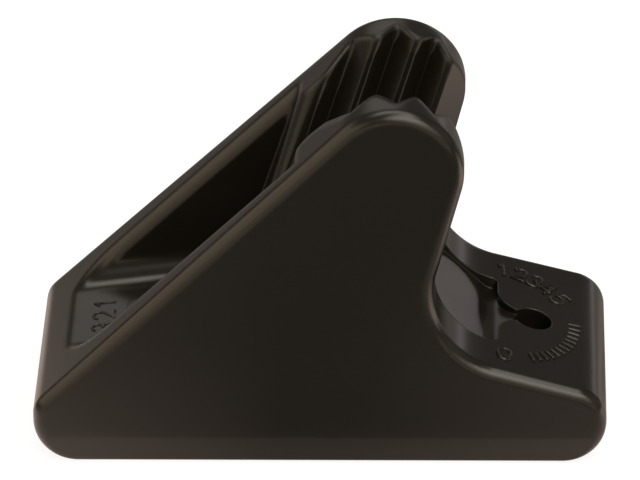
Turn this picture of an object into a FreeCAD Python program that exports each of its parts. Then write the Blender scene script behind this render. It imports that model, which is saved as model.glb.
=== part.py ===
import FreeCAD, Part
import math
import os
import Sketcher

V = FreeCAD.Vector
TOUCH = 0.01  # how near a point lies to an edge or a surface that it belongs to
TOOTH_GROOVES = 3
doc = FreeCAD.newDocument("jam_cleat")
os.makedirs("parts", exist_ok=True)

# Driving sizes in millimetres and degrees. X runs along the cleat from the side where the
# loaded rope leaves (-X) to its tail (+X), Y runs across it, and the deck is at Z = 0.
SIZES = {
    "body_length": 66.0,
    "base_width": 28.7,
    "nose_height": 7.17,
    "nose_radius": 3.05,
    "heel_height": 8.65,
    "heel_radius": 4.3,
    "foot_radius": 5.05,
    "foot_room": 0.05,
    "head_setback": 24.35,
    "head_centre_z": 36.81,
    "head_radius": 8.04,
    "head_lean": 15.3,
    "throat_radius": 9.68,
    "lug_slope": 15.8,
    "side_draft": 3.3,
    "skirt_height": 3.6,
    "skirt_draft": 5.0,
    "edge_radius": 1.5,
    "hole_diameter": 4.4,
    "front_hole_inset": 13.4,
    "seat_radius": 3.05,
    "seat_rise": 0.26,
    "cheek_width": 6.1,
    "trough_floor": 12.3,
    "trough_floor_slope": 8.0,
    "trough_floor_radius": 2.8,
    "trough_edge_radius": 1.5,
    "jaw_lean": 18.2,
    "jaw_slope": 10.0,
    "jaw_foot_gap": 0.7,
    "jaw_height": 30.55,
    "tooth_lead": 8.81,
    "tooth_pitch": 4.46,
    "tooth_land": 0.6,
    "tooth_depth": 2.1,
    "plain_land": 1.8,
    "inlet_radius": 1.6,
    "outlet_flare": 3.8,
    "outlet_depth": 3.5,
    "ramp_width": 14.0,
    "ramp_slope": 45.0,
    "ramp_depth": 0.37,
    "ramp_inset": 0.9,
    "ramp_foot_radius": 2.4,
    "recess_drop": 1.365,
    "recess_reach": 1.1,
    "recess_corner": 0.9,
    "recess_neck": 1.8,
    "neck_flare": 3.5,
    "neck_lead": 4.1,
}
# Values worked out from the driving sizes, as formulas in the same sheet. Some points are measured
# across and along a lean instead of in X and Z: those with _u by the head's lean, and the trough's
# rear wall, the gap's ends, the first tooth and those with _v by the jaws' lean.
DERIVED = {
    "half_length": "body_length / 2",
    "half_base": "base_width / 2",
    "lean_sin": "sin(head_lean)",
    "lean_cos": "cos(head_lean)",
    "head_centre_x": "half_length - head_setback",
    "head_u": "head_centre_x * lean_cos - head_centre_z * lean_sin",
    "head_side": "head_u + head_radius",
    "head_top": "head_centre_z + head_radius",
    "back_run": "half_length + head_centre_x",
    "back_climb": "head_centre_z - nose_height",
    "back_span": "sqrt(back_run ^ 2 + back_climb ^ 2)",
    "back_slope": "atan(back_climb / back_run) + asin(head_radius / back_span)",
    "back_rise": "tan(back_slope)",
    "back_level": "nose_height + back_rise * half_length",
    "lug_fall": "tan(lug_slope)",
    "lug_level": "heel_height + lug_fall * half_length",
    "peak_x": "(head_side + back_level * lean_sin) / (lean_cos - back_rise * lean_sin)",
    "peak_z": "back_level + back_rise * peak_x",
    "throat_x": "(head_side + lug_level * lean_sin) / (lean_cos + lug_fall * lean_sin)",
    "throat_z": "lug_level - lug_fall * throat_x",
    "nose_run": "nose_radius * tan(back_slope / 2)",
    "heel_run": "heel_radius * tan(45 - lug_slope / 2)",
    "front_foot_radius": "min(foot_radius; nose_height - nose_run - foot_room)",
    "rear_foot_radius": "min(foot_radius; heel_height - heel_run - foot_room)",
    "clear_z": "head_top + body_length / 4",
    "side_taper": "tan(side_draft)",
    "skirt_taper": "tan(skirt_draft)",
    "half_top": "half_base - (clear_z - skirt_height) * side_taper",
    "half_root": "half_base + skirt_height * side_taper",
    "half_deck": "half_base - skirt_height * skirt_taper",
    "front_hole_x": "front_hole_inset - half_length",
    "trough_width": "base_width - 2 * cheek_width",
    "seat_level": "trough_floor + seat_rise",
    "floor_rise": "tan(trough_floor_slope)",
    "floor_level": "trough_floor - floor_rise * front_hole_x",
    "jaw_sin": "sin(jaw_lean)",
    "jaw_cos": "cos(jaw_lean)",
    "jaw_v": "head_centre_x * jaw_sin + head_centre_z * jaw_cos",
    "first_tooth": "head_centre_x * jaw_cos - head_centre_z * jaw_sin - tooth_lead",
    "trough_wall": "first_tooth - plain_land",
    "trough_end_x": "(trough_wall + floor_level * jaw_sin) / (jaw_cos - floor_rise * jaw_sin)",
    "trough_end_z": "floor_level + floor_rise * trough_end_x",
    "trough_top_x": "(trough_wall + clear_z * jaw_sin) / jaw_cos",
    "foot_v": "jaw_v - jaw_height",
    "foot_x": "foot_v * jaw_sin",
    "foot_z": "foot_v * jaw_cos",
    "jaw_length": "(clear_z - foot_z) / jaw_cos / cos(jaw_slope)",
    "half_foot": "jaw_foot_gap / 2",
    "half_mouth": "half_foot + jaw_length * sin(jaw_slope)",
    "mouth_rise": "jaw_length * cos(jaw_slope)",
    "tip": "half_foot * cos(jaw_slope)",
    "outlet_side": "tip + outlet_depth",
    "gap_start": "trough_wall - tooth_land",
    "low_end_x": "(head_side + foot_z * lean_sin) / lean_cos",
    "high_end_x": "(head_side + head_top * lean_sin) / lean_cos",
    "low_end": "low_end_x * jaw_cos - foot_z * jaw_sin",
    "high_end": "high_end_x * jaw_cos - head_top * jaw_sin",
    "gap_end": "max(low_end; high_end) + tooth_land",
    "throat_u": "head_side + throat_radius",
    "throat_lift": "lug_level * cos(lug_slope) + throat_radius",
    "throat_skew": "cos(lug_slope - head_lean)",
    "throat_arc_x": "(throat_u * cos(lug_slope) + throat_lift * lean_sin) / throat_skew",
    "throat_arc_z": "(throat_lift * lean_cos - throat_u * sin(lug_slope)) / throat_skew",
    "ramp_sin": "sin(ramp_slope)",
    "ramp_cos": "cos(ramp_slope)",
    "arc_lift": "throat_arc_x * ramp_sin + throat_arc_z * ramp_cos",
    "ramp_lift": "arc_lift - throat_radius - ramp_depth",
    "ramp_u": "head_side + ramp_inset",
    "ramp_skew": "cos(ramp_slope - head_lean)",
    "recess_floor": "throat_arc_z - throat_radius * cos(lug_slope) - recess_drop",
    "ramp_foot_x": "(ramp_lift - recess_floor * ramp_cos) / ramp_sin",
    "ramp_foot_limit": "(recess_reach - foot_room) / tan(ramp_slope / 2)",
    "ramp_foot_round": "min(ramp_foot_radius; ramp_foot_limit)",
    "recess_end_x": "ramp_foot_x + recess_reach",
    "rear_hole_x": "recess_end_x + neck_lead",
    "recess_side": "ramp_width / 2",
    "recess_corner_x": "recess_end_x - recess_corner",
    "recess_corner_y": "recess_side - recess_corner",
    "neck_side": "recess_neck / 2",
    "neck_start_x": "recess_end_x + neck_flare",
    "neck_start_y": "neck_side + neck_flare",
    "sill_rear_x": "(ramp_u * ramp_cos + ramp_lift * lean_sin) / ramp_skew",
    "sill_rear_z": "(ramp_lift * lean_cos - ramp_u * ramp_sin) / ramp_skew",
    "sill_front_x": "gap_start * jaw_cos",
    "sill_front_z": "floor_level + floor_rise * sill_front_x",
    "sill_base_z": "(foot_z - gap_end * jaw_sin) / 2",
    "ramp_top_x": "sill_rear_x + (head_centre_z - sill_rear_z) * tan(head_lean)",
}

sheet = doc.addObject("Spreadsheet::Sheet", "sizes")
row = 0
for alias, value in SIZES.items():
    row += 1
    sheet.set("A%d" % row, alias)
    sheet.set("B%d" % row, str(value))
    sheet.setAlias("B%d" % row, alias)
for alias, formula in DERIVED.items():
    row += 1
    sheet.set("A%d" % row, alias)
    sheet.set("B%d" % row, "=" + formula)
    sheet.setAlias("B%d" % row, alias)
doc.recompute()


def size(alias):
    return float(getattr(sheet, alias))


def sketch_on(body, name, role, turn=V(0, 0, 0), shift=V(0, 0, 0)):
    """A sketch on one of the body's own planes, turned (yaw, pitch, roll) and shifted in it."""
    sketch = body.newObject("Sketcher::SketchObject", name)
    plane = [feature for feature in body.Origin.OriginFeatures if feature.Role == role][0]
    sketch.AttachmentSupport = [(plane, "")]
    sketch.MapMode = "FlatFace"
    sketch.AttachmentOffset = FreeCAD.Placement(shift, FreeCAD.Rotation(turn.x, turn.y, turn.z))
    return sketch


def pin(sketch, kind, element, point, formula):
    """Hold one coordinate of a point to a formula of sheet sizes, measured from the origin."""
    vertex = sketch.getPoint(element, point)
    start = vertex.x if kind == "DistanceX" else vertex.y
    index = sketch.addConstraint(Sketcher.Constraint(kind, -1, 1, element, point, start))
    sketch.setExpression("Constraints[%d]" % index, formula)


def arc_between(start, end, radius):
    """The short arc between two points, bending left for a positive radius, else right."""
    chord = end - start
    middle = start + chord / 2
    left = V(-chord.y, chord.x, 0).normalize()
    sink = math.sqrt(radius ** 2 - (chord.Length / 2) ** 2)
    bulge = middle - left * math.copysign(abs(radius) - sink, radius)
    return Part.Arc(start, bulge, end)


def draw_outline(sketch, corners):
    """A closed outline of corners, each a pair of formulas. After a corner with a third one, the
    way to the next bends by that radius (left if positive), touching the way before it."""
    points = [V(*[float(sketch.evalExpression(item)) for item in corner[:2]]) for corner in corners]
    first = sketch.GeometryCount
    ends = []
    for index, corner in enumerate(corners):
        start, end = points[index], points[(index + 1) % len(points)]
        radius = float(sketch.evalExpression(corner[2])) if corner[2:] else 0
        if radius:
            sketch.addGeometry(arc_between(start, end, radius))
        else:
            sketch.addGeometry(Part.LineSegment(start, end))
        ends.append((2, 1) if radius < 0 else (1, 2))
    for index, corner in enumerate(corners):
        kind = "Tangent" if corner[2:] else "Coincident"
        joined = (first + (index - 1) % len(corners), ends[index - 1][1], first + index, ends[index][0])
        sketch.addConstraint(Sketcher.Constraint(kind, *joined))
        pin(sketch, "DistanceX", first + index, ends[index][0], corner[0])
        pin(sketch, "DistanceY", first + index, ends[index][0], corner[1])


def draw_circle(sketch, across, radius):
    """A circle on the sketch's own axis."""
    index = sketch.addGeometry(Part.Circle(V(size("body_length"), 1, 0), V(0, 0, 1), 1))
    pin(sketch, "DistanceX", index, 3, across)
    sketch.addConstraint(Sketcher.Constraint("PointOnObject", index, 3, -1))
    constraint = sketch.addConstraint(Sketcher.Constraint("Radius", index, 1))
    sketch.setExpression("Constraints[%d]" % constraint, radius)


def extrude(body, kind, name, sketch, length, midplane=True, backwards=False):
    """A Pad or Pocket of a sketch whose length is a formula."""
    feature = body.newObject("PartDesign::" + kind, name)
    feature.Profile = sketch
    feature.Type = "Length"
    feature.Midplane = midplane
    feature.Reversed = backwards
    feature.setExpression("Length", length)
    doc.recompute()
    return feature


def edges_at(shape, tests):
    """Names of the edges whose every sampled point passes one of the tests."""
    names = []
    for number, edge in enumerate(shape.Edges, start=1):
        first, last = edge.ParameterRange
        samples = [edge.valueAt(first + (last - first) * share) for share in (0.05, 0.5, 0.95)]
        if any(all(test(point) for point in samples) for test in tests):
            names.append("Edge%d" % number)
    return names


def round_edges(body, name, tests, radius):
    """A fillet on the edges of the body's present shape that pass one of the tests."""
    base = body.Tip
    fillet = body.newObject("PartDesign::Fillet", name)
    fillet.Base = (base, edges_at(base.Shape, tests))
    fillet.setExpression("Radius", radius)
    doc.recompute()
    return fillet


def along_y(x, z):
    """A test for the edges that run across the body through (x, z)."""
    return lambda point: abs(point.x - x) < TOUCH and abs(point.z - z) < TOUCH


body = doc.addObject("PartDesign::Body", "cleat_body")
body.Label = "cleat_body"

# The side outline: nose, sloping back, leaning head, throat and lug, its corners then rounded.
side = sketch_on(body, "side_outline", "XZ_Plane")
draw_outline(side, [
    ("-sizes.half_length", "0"),
    ("sizes.half_length", "0"),
    ("sizes.half_length", "sizes.heel_height"),
    ("sizes.throat_x", "sizes.throat_z"),
    ("sizes.peak_x", "sizes.peak_z"),
    ("-sizes.half_length", "sizes.nose_height"),
])
extrude(body, "Pad", "block", side, "2 * sizes.half_root")
for name, x, z, radius in [
    ("head", size("peak_x"), size("peak_z"), "head_radius"),
    ("throat", size("throat_x"), size("throat_z"), "throat_radius"),
    ("nose", -size("half_length"), size("nose_height"), "nose_radius"),
    ("heel", size("half_length"), size("heel_height"), "heel_radius"),
    ("front_foot", -size("half_length"), 0, "front_foot_radius"),
    ("rear_foot", size("half_length"), 0, "rear_foot_radius"),
]:
    round_edges(body, name + "_fillet", [along_y(x, z)], "sizes." + radius)

# Both sides lean in towards the top, and their rims are rounded.
section = sketch_on(body, "side_leans", "YZ_Plane")
for way in ("", "-"):
    draw_outline(section, [
        (way + "sizes.half_root", "0"),
        (way + "sizes.half_top", "sizes.clear_z"),
        (way + "sizes.base_width", "sizes.clear_z"),
        (way + "sizes.base_width", "0"),
    ])
extrude(body, "Pocket", "leaning_sides", section, "2 * sizes.body_length")


def on_a_side(point):
    """True on the rim of either leaning side."""
    return abs(abs(point.y) - size("half_root") + point.z * size("side_taper")) < TOUCH


round_edges(body, "outer_edges", [on_a_side], "sizes.edge_radius")

# Below the skirt line both sides fall back towards the deck.
skirt = sketch_on(body, "skirt_section", "YZ_Plane")
for way in ("", "-"):
    draw_outline(skirt, [
        (way + "sizes.half_deck", "0"),
        (way + "sizes.half_base", "sizes.skirt_height"),
        (way + "sizes.base_width", "sizes.skirt_height"),
        (way + "sizes.base_width", "0"),
    ])
extrude(body, "Pocket", "skirt", skirt, "2 * sizes.body_length")

# The trough behind the jaws, open towards the nose, with its floor falling to the nose.
trough = sketch_on(body, "trough_outline", "XZ_Plane")
draw_outline(trough, [
    ("-sizes.body_length", "sizes.floor_level - sizes.floor_rise * sizes.body_length"),
    ("sizes.trough_end_x", "sizes.trough_end_z"),
    ("sizes.trough_top_x", "sizes.clear_z"),
    ("-sizes.body_length", "sizes.clear_z"),
])
extrude(body, "Pocket", "trough", trough, "sizes.trough_width")


def trough_corner(point):
    """True on the two lines where the trough's floor meets its walls."""
    floor = size("floor_level") + size("floor_rise") * point.x
    return abs(point.z - floor) < TOUCH and abs(abs(point.y) - size("trough_width") / 2) < TOUCH


round_edges(body, "trough_corners", [trough_corner], "sizes.trough_floor_radius")


def trough_lip(point):
    """True on the two lines where the trough's walls meet the sloping back."""
    back = size("back_level") + size("back_rise") * point.x
    return abs(point.z - back) < TOUCH and abs(abs(point.y) - size("trough_width") / 2) < TOUCH


round_edges(body, "trough_lips", [trough_lip], "sizes.trough_edge_radius")

# The gap between the jaws: a middle wedge that widens upwards, then a toothed cut on each side.
gap = sketch_on(body, "gap_section", "YZ_Plane")
gap.setExpression("AttachmentOffset.Rotation.Roll", "sizes.jaw_lean")
gap.setExpression("AttachmentOffset.Base.y", "sizes.foot_z - sizes.gap_end * sizes.jaw_sin")
gap.setExpression("AttachmentOffset.Base.z", "sizes.foot_x + sizes.gap_end * sizes.jaw_cos")
draw_outline(gap, [
    ("-sizes.half_foot", "0"),
    ("sizes.half_foot", "0"),
    ("sizes.half_mouth", "sizes.mouth_rise"),
    ("-sizes.half_mouth", "sizes.mouth_rise"),
])
extrude(body, "Pocket", "jaw_gap", gap, "sizes.gap_end - sizes.gap_start", midplane=False)


def inlet_corner(point):
    """True on the two lines where the trough's rear wall turns into the gap."""
    across = point.x * size("jaw_cos") - point.z * size("jaw_sin")
    along = point.x * size("jaw_sin") + point.z * size("jaw_cos")
    side = size("half_foot") + (along - size("foot_v")) * math.tan(math.radians(size("jaw_slope")))
    return abs(across - size("trough_wall")) < TOUCH and abs(abs(point.y) - side) < TOUCH


round_edges(body, "inlet_corners", [inlet_corner], "sizes.inlet_radius")

for name, way, roll in [("far", "", "-sizes.jaw_slope"), ("near", "-", "sizes.jaw_slope")]:
    jaw = sketch_on(body, name + "_jaw", "XY_Plane")
    jaw.setExpression("AttachmentOffset.Rotation.Pitch", "sizes.jaw_lean")
    jaw.setExpression("AttachmentOffset.Rotation.Roll", roll)
    jaw.setExpression("AttachmentOffset.Base.x", "sizes.foot_x")
    jaw.setExpression("AttachmentOffset.Base.z", "sizes.foot_z")
    corners = [("sizes.first_tooth", "0"), ("sizes.first_tooth", way + "sizes.tip")]
    for groove in range(TOOTH_GROOVES):
        start = "sizes.first_tooth + %d * sizes.tooth_pitch" % groove
        corners += [
            (start + " + sizes.tooth_land / 2", way + "sizes.tip"),
            (start + " + sizes.tooth_pitch / 2", way + "(sizes.tip + sizes.tooth_depth)"),
            (start + " + sizes.tooth_pitch - sizes.tooth_land / 2", way + "sizes.tip"),
        ]
    last_tooth = "sizes.first_tooth + %d * sizes.tooth_pitch" % TOOTH_GROOVES
    corners += [
        (last_tooth + " + sizes.tooth_land / 2", way + "sizes.tip"),
        (last_tooth + " + sizes.outlet_flare", way + "sizes.outlet_side"),
        ("sizes.gap_end", way + "sizes.outlet_side"),
        ("sizes.gap_end", "0"),
    ]
    draw_outline(jaw, corners)
    extrude(body, "Pocket", name + "_teeth", jaw, "sizes.jaw_length", midplane=False, backwards=True)

# The rope's floor under the jaws, rising from the trough to the head of the tail ramp, and the
# solid under that ramp.
sill = sketch_on(body, "sill_outline", "XZ_Plane")
draw_outline(sill, [
    ("sizes.sill_front_x", "sizes.sill_base_z"),
    ("sizes.sill_front_x", "sizes.sill_front_z"),
    ("sizes.sill_rear_x", "sizes.sill_rear_z"),
    ("sizes.ramp_foot_x", "sizes.recess_floor"),
    ("sizes.ramp_foot_x", "sizes.sill_base_z"),
])
extrude(body, "Pad", "sill", sill, "sizes.trough_width")

# The tail ramp is sunk between the shoulders of the lug and runs out at the rear screw hole.
ramp = sketch_on(body, "ramp_outline", "XZ_Plane")
draw_outline(ramp, [
    ("sizes.sill_rear_x", "sizes.sill_rear_z"),
    ("sizes.ramp_foot_x", "sizes.recess_floor"),
    ("sizes.ramp_foot_x", "sizes.head_centre_z"),
    ("sizes.ramp_top_x", "sizes.head_centre_z"),
])
extrude(body, "Pocket", "tail_ramp", ramp, "sizes.ramp_width")

recess = sketch_on(body, "recess_outline", "XY_Plane")
recess.setExpression("AttachmentOffset.Base.z", "sizes.recess_floor")
draw_outline(recess, [
    ("sizes.ramp_foot_x", "-sizes.recess_side"),
    ("sizes.recess_corner_x", "-sizes.recess_side", "sizes.recess_corner"),
    ("sizes.recess_end_x", "-sizes.recess_corner_y"),
    ("sizes.recess_end_x", "-sizes.neck_start_y", "-sizes.neck_flare"),
    ("sizes.neck_start_x", "-sizes.neck_side"),
    ("sizes.rear_hole_x", "-sizes.neck_side"),
    ("sizes.rear_hole_x", "sizes.neck_side"),
    ("sizes.neck_start_x", "sizes.neck_side", "-sizes.neck_flare"),
    ("sizes.recess_end_x", "sizes.neck_start_y"),
    ("sizes.recess_end_x", "sizes.recess_corner_y", "sizes.recess_corner"),
    ("sizes.recess_corner_x", "sizes.recess_side"),
    ("sizes.ramp_foot_x", "sizes.recess_side"),
])
extrude(body, "Pocket", "recess", recess, "sizes.sill_rear_z", midplane=False, backwards=True)

ramp_foot = along_y(size("ramp_foot_x"), size("recess_floor"))
round_edges(body, "ramp_foot_fillet", [ramp_foot], "sizes.ramp_foot_round")

# A level seat for the front screw's head, raised on one side and sunk on the other.
seat = sketch_on(body, "seat_outline", "XY_Plane")
seat.setExpression("AttachmentOffset.Base.z", "sizes.seat_level")
draw_circle(seat, "sizes.front_hole_x", "sizes.seat_radius")
extrude(body, "Pad", "seat_boss", seat, "sizes.seat_level - sizes.sill_base_z", False, True)
extrude(body, "Pocket", "seat_face", seat, "sizes.seat_level", False, True)

# One screw hole through the trough's floor and one through the lug.
holes = sketch_on(body, "screw_holes", "XY_Plane")
for place in ("sizes.front_hole_x", "sizes.rear_hole_x"):
    draw_circle(holes, place, "sizes.hole_diameter / 2")
extrude(body, "Pocket", "screw_bores", holes, "2 * sizes.clear_z")

doc.recompute()
for item in doc.Objects:
    if "Invalid" in item.State or "Error" in item.State:
        raise RuntimeError(item.Name + " failed: " + str(item.State))
shape = body.Shape
if shape.isNull() or not shape.isValid():
    raise RuntimeError("the body is not a valid solid")
print("volume", shape.Volume, "box", shape.BoundBox)
shape.exportStep("parts/" + body.Label + ".step")
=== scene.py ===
import math

import bpy
from mathutils import Matrix, Vector


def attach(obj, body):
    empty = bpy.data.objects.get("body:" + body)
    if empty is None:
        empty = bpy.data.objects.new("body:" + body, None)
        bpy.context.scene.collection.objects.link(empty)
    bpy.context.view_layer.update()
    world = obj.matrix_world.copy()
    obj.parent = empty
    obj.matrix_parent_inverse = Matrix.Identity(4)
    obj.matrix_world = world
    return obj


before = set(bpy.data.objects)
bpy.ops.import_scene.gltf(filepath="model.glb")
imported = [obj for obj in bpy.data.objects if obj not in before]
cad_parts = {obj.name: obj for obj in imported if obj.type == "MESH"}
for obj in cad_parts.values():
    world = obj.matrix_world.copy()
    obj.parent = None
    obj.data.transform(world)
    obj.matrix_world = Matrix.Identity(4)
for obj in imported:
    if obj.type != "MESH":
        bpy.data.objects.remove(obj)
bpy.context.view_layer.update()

MM = 0.001
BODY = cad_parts["cleat_body"]

# The camera, fitted to the photograph: it looks down on the cleat's near side through a long lens.
CAMERA_AZIMUTH = math.radians(1.996)
CAMERA_ELEVATION = math.radians(30.655)
CAMERA_ROLL = math.radians(-0.888)
CAMERA_DISTANCE = 706.9 * MM
CAMERA_LENS = 343.34
CAMERA_CENTRE = Vector((0, 0, 18 * MM))
AIM_RIGHT = -0.12 * MM
AIM_UP = 3.095 * MM

# The lug's top, which carries the raised scale, and the trough's floor at the nose.
LUG_SLOPE = math.radians(15.8)
HEEL_HEIGHT = 8.65 * MM
HALF_LENGTH = 33 * MM
TROUGH_SLOPE = math.radians(8)
TROUGH_HEIGHT = 12.3 * MM
FRONT_HOLE_X = -19.6 * MM

# The raised marks. On the lug they follow an oval round the rear hole: plain numbers on its far
# side, a nought on its near side and ticks at its tail end. Three more numbers stand at the nose.
OVAL_X = 22.2 * MM
OVAL_LENGTH = 8.3 * MM
OVAL_WIDTH = 9.4 * MM
LUG_NUMBERS = (("1", 92), ("2", 78), ("3", 65), ("4", 52), ("5", 38), ("0", -91))
TICK_COUNT = 13
TICK_START = 4
TICK_STEP = -6
TICK_LENGTH = 1.5 * MM
NUMBER_HEIGHT = 2.5 * MM
NOSE_X = -5.8 * MM
NOSE_NUMBERS = (("1", 2.5), ("2", -0.2), ("3", -2.9))
LUG_BEAD = 0.24 * MM
NOSE_BEAD = 0.17 * MM

# The head, and how round its crests, the trough's nose and all other sharp edges look. The crests
# are a band just inside the head's outline and between its sides.
HEAD_X = 8.65 * MM
HEAD_Z = 36.81 * MM
HEAD_RADIUS = 8.04 * MM
BACK_SLOPE = math.radians(44.5)
EDGE_RADIUS = 0.3 * MM
CREST_RADIUS = 1.2 * MM
CREST_START = HEAD_RADIUS - 2.2 * MM
CREST_FULL = HEAD_RADIUS - 1.2 * MM
CREST_RISE = 2 * MM
CREST_WIDTH = 11.8 * MM
CREST_FADE = 0.4 * MM
NOSE_RADIUS = 0.9 * MM
NOSE_START = -23 * MM
NOSE_FULL = -27 * MM

# The moulded nylon: two tones in soft clouds, patches of gloss and a fine grain.
NYLON_IOR = 1.53
NYLON_DARK = (0.0096, 0.0076, 0.0060, 1)
NYLON_LIGHT = (0.0124, 0.0099, 0.0076, 1)
CLOUD_SCALE = 60
PATCH_SCALE = 140
ROUGH_LEAST = 0.20
ROUGH_MOST = 0.28
GRAIN_SCALE = 2600
GRAIN_STRENGTH = 0.12
GRAIN_HEIGHT = 0.02 * MM

# The room's soft panels: azimuth from and to, elevation from and to and softness in degrees, and
# colour. Azimuth 0 is straight in front of the cleat's near side and 90 is beyond its tail. A panel
# that goes on past 180 is given to 190, and has its other part in a row of its own or none.
PANELS = (
    (-122, -30, 12, 38, 4, (1.15, 0.93, 0.62)),
    (-9, 60, 38, 62, 4, (3.60, 3.34, 2.96)),
    (0, 60, 18, 38, 4, (1.15, 1.00, 0.78)),
    (-60, 60, 0, 8, 4, (1.00, 0.86, 0.55)),
    (60, 120, 8, 38, 4, (0.22, 0.19, 0.15)),
    (142, 164, 1, 4, 2, (1.55, 1.40, 1.42)),
    (-190, -150, 19, 45, 4, (0.22, 0.17, 0.09)),
    (-190, -90, 64, 80, 4, (3.30, 3.05, 2.70)),
    (4, 190, 62, 80, 4, (3.00, 2.78, 2.45)),
)
ROOM_DIM = (0.12, 0.11, 0.105)

# The part of the white backdrop that the gloss shows, as in the photograph: straight behind, with
# its turns to the left and right as seen from the near side. Its heights and its fade are sines of
# the elevation.
BACKDROP_LEFT = math.radians(24)
BACKDROP_RIGHT = math.radians(6)
BACKDROP_SOFT = math.radians(3)
BACKDROP_LOW = math.sin(math.radians(19))
BACKDROP_HIGH = math.sin(math.radians(45))
BACKDROP_FADE = 0.04
BACKDROP_SHARE = 0.5

# Where the floor glows in the cleat's gloss: the stretches, in millimetres, over which each glow
# fades in and out along X, then along Y, and its strength. Where it says None there is no fade.
GLOWS = (
    ((-90, -60), (-45, -5), (-50, -26), (-14, 10), 0.92),
    ((4, 32), None, (-70, -46), (-14, 10), 0.36),
    (None, None, (-24, -16), (-6, 2), 0.42),
    ((-81, -69), (-42, -30), (-20, 4), (33, 57), 0.75),
    ((40, 80), None, (-40, -20), (24, 44), 1.30),
    (None, (-45, -10), None, (-50, -26), 0.40),
    (None, None, (2, 26), None, 0.12),
)
GLOW_TINT = (1.0, 0.79, 0.66, 1)

# The floor: half its width, its grey as light falls on it, and how white the camera sees it.
FLOOR_HALF = 1.5
FLOOR_GREY = (0.20, 0.20, 0.20, 1)
FLOOR_WHITE = 0.9


def link(tree, source, target):
    """Joins an output socket to an input socket."""
    tree.links.new(source, target)


def shader_nodes(name):
    """A new material with an empty node tree and its output node."""
    material = bpy.data.materials.new(name)
    material.use_nodes = True
    tree = material.node_tree
    tree.nodes.clear()
    output = tree.nodes.new("ShaderNodeOutputMaterial")
    return material, tree, output


def noise(tree, scale, detail):
    """A noise texture in the object's own coordinates."""
    place = tree.nodes.new("ShaderNodeTexCoord")
    texture = tree.nodes.new("ShaderNodeTexNoise")
    texture.inputs["Scale"].default_value = scale
    texture.inputs["Detail"].default_value = detail
    link(tree, place.outputs["Object"], texture.inputs["Vector"])
    return texture


def spread(tree, value, low, high):
    """Maps a 0 to 1 value to a range."""
    node = tree.nodes.new("ShaderNodeMapRange")
    node.inputs["To Min"].default_value = low
    node.inputs["To Max"].default_value = high
    link(tree, value, node.inputs["Value"])
    return node.outputs["Result"]


def ramped(tree, value, start, end, low, high):
    """Maps a value between two limits, with no change beyond them."""
    node = tree.nodes.new("ShaderNodeMapRange")
    node.inputs["From Min"].default_value = start
    node.inputs["From Max"].default_value = end
    node.inputs["To Min"].default_value = low
    node.inputs["To Max"].default_value = high
    link(tree, value, node.inputs["Value"])
    return node.outputs["Result"]


def combined(tree, operation, first, second):
    """One value worked out from two."""
    node = tree.nodes.new("ShaderNodeMath")
    node.operation = operation
    for index, source in enumerate((first, second)):
        if isinstance(source, float):
            node.inputs[index].default_value = source
        else:
            link(tree, source, node.inputs[index])
    return node.outputs["Value"]


def product(tree, *values):
    """Two or more values multiplied."""
    result = values[0]
    for value in values[1:]:
        result = combined(tree, "MULTIPLY", result, value)
    return result


def window(tree, value, start, end, soft):
    """1 between two limits and 0 outside them, with soft ends."""
    rise = ramped(tree, value, start - soft, start + soft, 0.0, 1.0)
    fall = ramped(tree, value, end - soft, end + soft, 1.0, 0.0)
    return product(tree, rise, fall)


def coordinates(tree, kind):
    """The X, Y and Z of one kind of texture coordinate."""
    place = tree.nodes.new("ShaderNodeTexCoord")
    parts = tree.nodes.new("ShaderNodeSeparateXYZ")
    link(tree, place.outputs[kind], parts.inputs["Vector"])
    return parts.outputs["X"], parts.outputs["Y"], parts.outputs["Z"]


def edge_radius(tree):
    """How round the edges look: a little all over, more at the jaws' crests and at the nose."""
    along, across, height = coordinates(tree, "Object")
    ahead = combined(tree, "SUBTRACT", along, HEAD_X)
    above = combined(tree, "SUBTRACT", height, HEAD_Z)
    squares = [product(tree, value, value) for value in (ahead, above)]
    reach = combined(tree, "SQRT", combined(tree, "ADD", *squares), 0.0)
    crown = ramped(tree, reach, CREST_START, CREST_FULL, 0.0, 1.0)
    crown = product(tree, crown, ramped(tree, above, 0.0, CREST_RISE, 0.0, 1.0))
    slant = product(tree, ahead, -math.sin(BACK_SLOPE))
    slant = combined(tree, "ADD", slant, product(tree, above, math.cos(BACK_SLOPE)))
    back = ramped(tree, slant, CREST_START, CREST_FULL, 0.0, 1.0)
    sideways = combined(tree, "ABSOLUTE", across, 0.0)
    inner = ramped(tree, sideways, CREST_WIDTH - CREST_FADE, CREST_WIDTH + CREST_FADE, 1.0, 0.0)
    crest = product(tree, combined(tree, "MAXIMUM", crown, back), inner)
    nose = ramped(tree, along, NOSE_START, NOSE_FULL, EDGE_RADIUS, NOSE_RADIUS)
    return combined(tree, "MAXIMUM", ramped(tree, crest, 0.0, 1.0, EDGE_RADIUS, CREST_RADIUS), nose)


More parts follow.
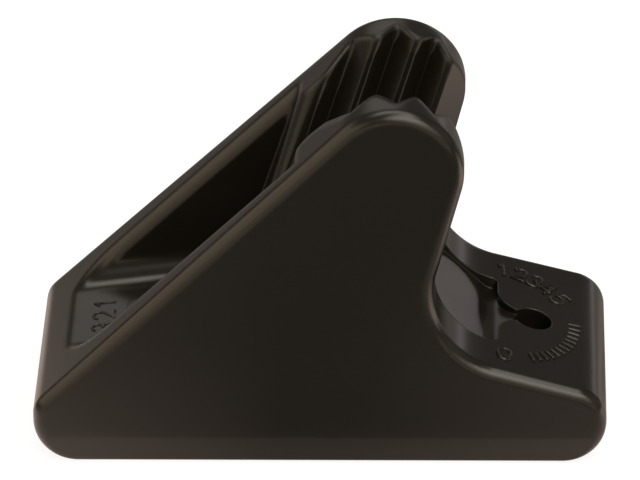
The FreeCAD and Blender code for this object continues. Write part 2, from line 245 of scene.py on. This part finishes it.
def moulded_nylon():
    """Dark brown-black nylon with a fine moulded skin and softly rounded edges."""
    material, tree, output = shader_nodes("moulded_nylon")
    plastic = tree.nodes.new("ShaderNodeBsdfPrincipled")
    plastic.inputs["IOR"].default_value = NYLON_IOR
    link(tree, plastic.outputs["BSDF"], output.inputs["Surface"])

    tones = tree.nodes.new("ShaderNodeMix")
    tones.data_type = "RGBA"
    tones.inputs["A"].default_value = NYLON_DARK
    tones.inputs["B"].default_value = NYLON_LIGHT
    clouds = noise(tree, CLOUD_SCALE, 3)
    link(tree, clouds.outputs["Fac"], tones.inputs["Factor"])
    link(tree, tones.outputs["Result"], plastic.inputs["Base Color"])

    patches = noise(tree, PATCH_SCALE, 4)
    rough = spread(tree, patches.outputs["Fac"], ROUGH_LEAST, ROUGH_MOST)
    link(tree, rough, plastic.inputs["Roughness"])

    edges = tree.nodes.new("ShaderNodeBevel")
    edges.samples = 8
    link(tree, edge_radius(tree), edges.inputs["Radius"])
    grain = noise(tree, GRAIN_SCALE, 2)
    skin = tree.nodes.new("ShaderNodeBump")
    skin.inputs["Strength"].default_value = GRAIN_STRENGTH
    skin.inputs["Distance"].default_value = GRAIN_HEIGHT
    link(tree, grain.outputs["Fac"], skin.inputs["Height"])
    link(tree, edges.outputs["Normal"], skin.inputs["Normal"])
    link(tree, skin.outputs["Normal"], plastic.inputs["Normal"])
    return material


def dress(piece, material):
    """Gives a piece one material."""
    piece.data.materials.clear()
    piece.data.materials.append(material)


def bow(x, y, wide, high, start, end):
    """Points along part of an oval, between two angles in degrees."""
    turns = [math.radians(start + (end - start) * step / 10) for step in range(11)]
    return [(x + wide * math.cos(turn), y + high * math.sin(turn)) for turn in turns]


# Each number's strokes, in heights of the number, about its middle.
NUMBERS = {
    "0": [bow(0, 0, 0.32, 0.5, 0, 360)],
    "1": [[(-0.2, 0.28), (0.02, 0.5), (0.02, -0.5)]],
    "2": [bow(0, 0.21, 0.29, 0.29, 165, -40) + [(-0.3, -0.5), (0.31, -0.5)]],
    "3": [bow(0, 0.25, 0.27, 0.25, 150, -90) + bow(0, -0.25, 0.3, 0.25, 90, -150)],
    "4": [[(0.14, -0.5), (0.14, 0.5), (-0.32, -0.18), (0.32, -0.18)]],
    "5": [[(0.27, 0.5), (-0.22, 0.5), (-0.26, 0.05)] + bow(0, -0.17, 0.3, 0.33, 130, -150)],
}


def number_strokes(number, x, y, turn):
    """The strokes of one number on a plane, its top turned that many degrees from the plane's +Y."""
    across, up = math.cos(math.radians(turn)), math.sin(math.radians(turn))
    strokes = []
    for stroke in NUMBERS[number]:
        sized = [(NUMBER_HEIGHT * a, NUMBER_HEIGHT * b) for a, b in stroke]
        strokes.append([(x + a * across - b * up, y + a * up + b * across) for a, b in sized])
    return strokes


def on_oval(angle, length, width):
    """A point of the lug's oval, measured on the lug's own slope."""
    turn = math.radians(angle)
    return OVAL_X + length * math.cos(turn), width * math.sin(turn)


def lug_strokes():
    """The strokes of the marks on the lug: numbers with their tops outwards, and radial ticks."""
    strokes = []
    for number, angle in LUG_NUMBERS:
        x, y = on_oval(angle, OVAL_LENGTH, OVAL_WIDTH)
        strokes += number_strokes(number, x, y, angle - 90)
    half = TICK_LENGTH / 2
    for index in range(TICK_COUNT):
        angle = TICK_START + TICK_STEP * index
        inner = on_oval(angle, OVAL_LENGTH - half, OVAL_WIDTH - half)
        outer = on_oval(angle, OVAL_LENGTH + half, OVAL_WIDTH + half)
        strokes.append([inner, outer])
    return strokes


def nose_strokes():
    """The strokes of the numbers on the trough's floor at the nose, their tops to the nose."""
    strokes = []
    for number, y in NOSE_NUMBERS:
        strokes += number_strokes(number, NOSE_X, y * MM, 90)
    return strokes


def raised_marks(name, strokes, bead, origin, slope):
    """Moulded beads along strokes on a plane through the origin that falls by the slope towards +X."""
    curve = bpy.data.curves.new(name, "CURVE")
    curve.dimensions = "3D"
    curve.bevel_depth = bead
    curve.bevel_resolution = 2
    curve.use_fill_caps = True
    for stroke in strokes:
        line = curve.splines.new("POLY")
        line.points.add(len(stroke) - 1)
        for point, (x, y) in zip(line.points, stroke):
            point.co = (x, y, 0, 1)
    marks = bpy.data.objects.new(name, curve)
    marks.matrix_world = Matrix.Translation(origin) @ Matrix.Rotation(slope, 4, "Y")
    bpy.context.scene.collection.objects.link(marks)
    dress(marks, BODY.data.materials[0])
    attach(marks, "root")


def floor_glow(tree):
    """How brightly the floor glows in the cleat's gloss: most at both ends and close to it."""
    along, across, _ = coordinates(tree, "Object")
    light = None
    for in_x, out_x, in_y, out_y, strength in GLOWS:
        fades = (
            (along, in_x, 0.0, 1.0), (along, out_x, 1.0, 0.0),
            (across, in_y, 0.0, 1.0), (across, out_y, 1.0, 0.0),
        )
        shares = [
            ramped(tree, value, stretch[0] * MM, stretch[1] * MM, first, last)
            for value, stretch, first, last in fades if stretch
        ]
        glow = product(tree, *shares, strength)
        light = combined(tree, "ADD", light, glow) if light else glow
    return light


def added(tree, first, second):
    """Two shaders added."""
    node = tree.nodes.new("ShaderNodeAddShader")
    link(tree, first, node.inputs[0])
    link(tree, second, node.inputs[1])
    return node.outputs["Shader"]


def studio_floor():
    """A pale floor that shows white to the camera and keeps the cleat's soft shadow."""
    mesh = bpy.data.meshes.new("studio_floor")
    sides = ((-1, -1), (1, -1), (1, 1), (-1, 1))
    mesh.from_pydata([(FLOOR_HALF * x, FLOOR_HALF * y, 0) for x, y in sides], [], [(0, 1, 2, 3)])
    floor = bpy.data.objects.new("studio_floor", mesh)
    bpy.context.scene.collection.objects.link(floor)
    material, tree, output = shader_nodes("pale_floor")
    paint = tree.nodes.new("ShaderNodeBsdfDiffuse")
    paint.inputs["Color"].default_value = FLOOR_GREY
    glow = tree.nodes.new("ShaderNodeEmission")
    rays = tree.nodes.new("ShaderNodeLightPath")
    seen = combined(tree, "ADD", rays.outputs["Is Camera Ray"], rays.outputs["Is Transmission Ray"])
    link(tree, product(tree, seen, FLOOR_WHITE), glow.inputs["Strength"])
    shine = tree.nodes.new("ShaderNodeEmission")
    shine.inputs["Color"].default_value = GLOW_TINT
    glossed = product(tree, rays.outputs["Is Glossy Ray"], floor_glow(tree))
    link(tree, glossed, shine.inputs["Strength"])
    both = added(tree, glow.outputs["Emission"], shine.outputs["Emission"])
    link(tree, added(tree, paint.outputs["BSDF"], both), output.inputs["Surface"])
    floor.data.materials.append(material)


def studio_world():
    """White for the camera; for the cleat a dim room with soft panels and a part of the white."""
    world = bpy.data.worlds.new("studio")
    bpy.context.scene.world = world
    world.use_nodes = True
    tree = world.node_tree
    tree.nodes.clear()
    output = tree.nodes.new("ShaderNodeOutputWorld")
    along, across, height = coordinates(tree, "Generated")
    azimuth = combined(tree, "ARCTAN2", along, product(tree, across, -1.0))
    light = None
    for left, right, low, high, soft, colour in PANELS:
        bottom, top = math.sin(math.radians(low)), math.sin(math.radians(high))
        fade = math.sin(math.radians(low + soft)) - bottom
        turn = window(tree, azimuth, math.radians(left), math.radians(right), math.radians(soft))
        panel = tree.nodes.new("ShaderNodeVectorMath")
        panel.operation = "MULTIPLY_ADD"
        link(tree, product(tree, turn, window(tree, height, bottom, top, fade)), panel.inputs[0])
        panel.inputs[1].default_value = colour
        panel.inputs[2].default_value = ROOM_DIM
        if light:
            link(tree, light, panel.inputs[2])
        light = panel.outputs["Vector"]
    room = tree.nodes.new("ShaderNodeBackground")
    link(tree, light, room.inputs["Color"])
    backdrop = tree.nodes.new("ShaderNodeBackground")
    backdrop.inputs["Color"].default_value = (1, 1, 1, 1)
    rays = tree.nodes.new("ShaderNodeLightPath")
    turned = combined(tree, "ARCTAN2", product(tree, along, -1.0), across)
    behind = window(tree, turned, -BACKDROP_RIGHT, BACKDROP_LEFT, BACKDROP_SOFT)
    raised = window(tree, height, BACKDROP_LOW, BACKDROP_HIGH, BACKDROP_FADE)
    glossed = product(tree, behind, raised, BACKDROP_SHARE, rays.outputs["Is Glossy Ray"])
    seen = combined(tree, "ADD", rays.outputs["Is Camera Ray"], rays.outputs["Is Transmission Ray"])
    choice = tree.nodes.new("ShaderNodeMixShader")
    link(tree, combined(tree, "MAXIMUM", seen, glossed), choice.inputs["Fac"])
    link(tree, room.outputs["Background"], choice.inputs[1])
    link(tree, backdrop.outputs["Background"], choice.inputs[2])
    link(tree, choice.outputs["Shader"], output.inputs["Surface"])


def photo_camera():
    """The camera at the photograph's angle."""
    back = Vector((
        math.sin(CAMERA_AZIMUTH) * math.cos(CAMERA_ELEVATION),
        -math.cos(CAMERA_AZIMUTH) * math.cos(CAMERA_ELEVATION),
        math.sin(CAMERA_ELEVATION),
    ))
    level_right = Vector((math.cos(CAMERA_AZIMUTH), math.sin(CAMERA_AZIMUTH), 0))
    level_up = back.cross(level_right)
    right = level_right * math.cos(CAMERA_ROLL) + level_up * math.sin(CAMERA_ROLL)
    up = back.cross(right)
    place = CAMERA_CENTRE + back * CAMERA_DISTANCE
    aim = CAMERA_CENTRE + right * AIM_RIGHT + up * AIM_UP
    forward = (aim - place).normalized()
    right = (right - forward * right.dot(forward)).normalized()
    up = right.cross(forward)
    lens = bpy.data.cameras.new("photo_camera")
    lens.lens = CAMERA_LENS
    lens.clip_start = 10 * MM
    holder = bpy.data.objects.new("photo_camera", lens)
    turn = Matrix((right, up, -forward)).transposed().to_4x4()
    holder.matrix_world = Matrix.Translation(place) @ turn
    bpy.context.scene.collection.objects.link(holder)
    bpy.context.scene.camera = holder


dress(BODY, moulded_nylon())
lug_top = Vector((0, 0, HEEL_HEIGHT + HALF_LENGTH * math.tan(LUG_SLOPE)))
raised_marks("lug_marks", lug_strokes(), LUG_BEAD, lug_top, LUG_SLOPE)
trough_floor = Vector((FRONT_HOLE_X, 0, TROUGH_HEIGHT))
raised_marks("nose_marks", nose_strokes(), NOSE_BEAD, trough_floor, -TROUGH_SLOPE)

studio_floor()
studio_world()
photo_camera()
bpy.context.scene.view_settings.view_transform = "Standard"
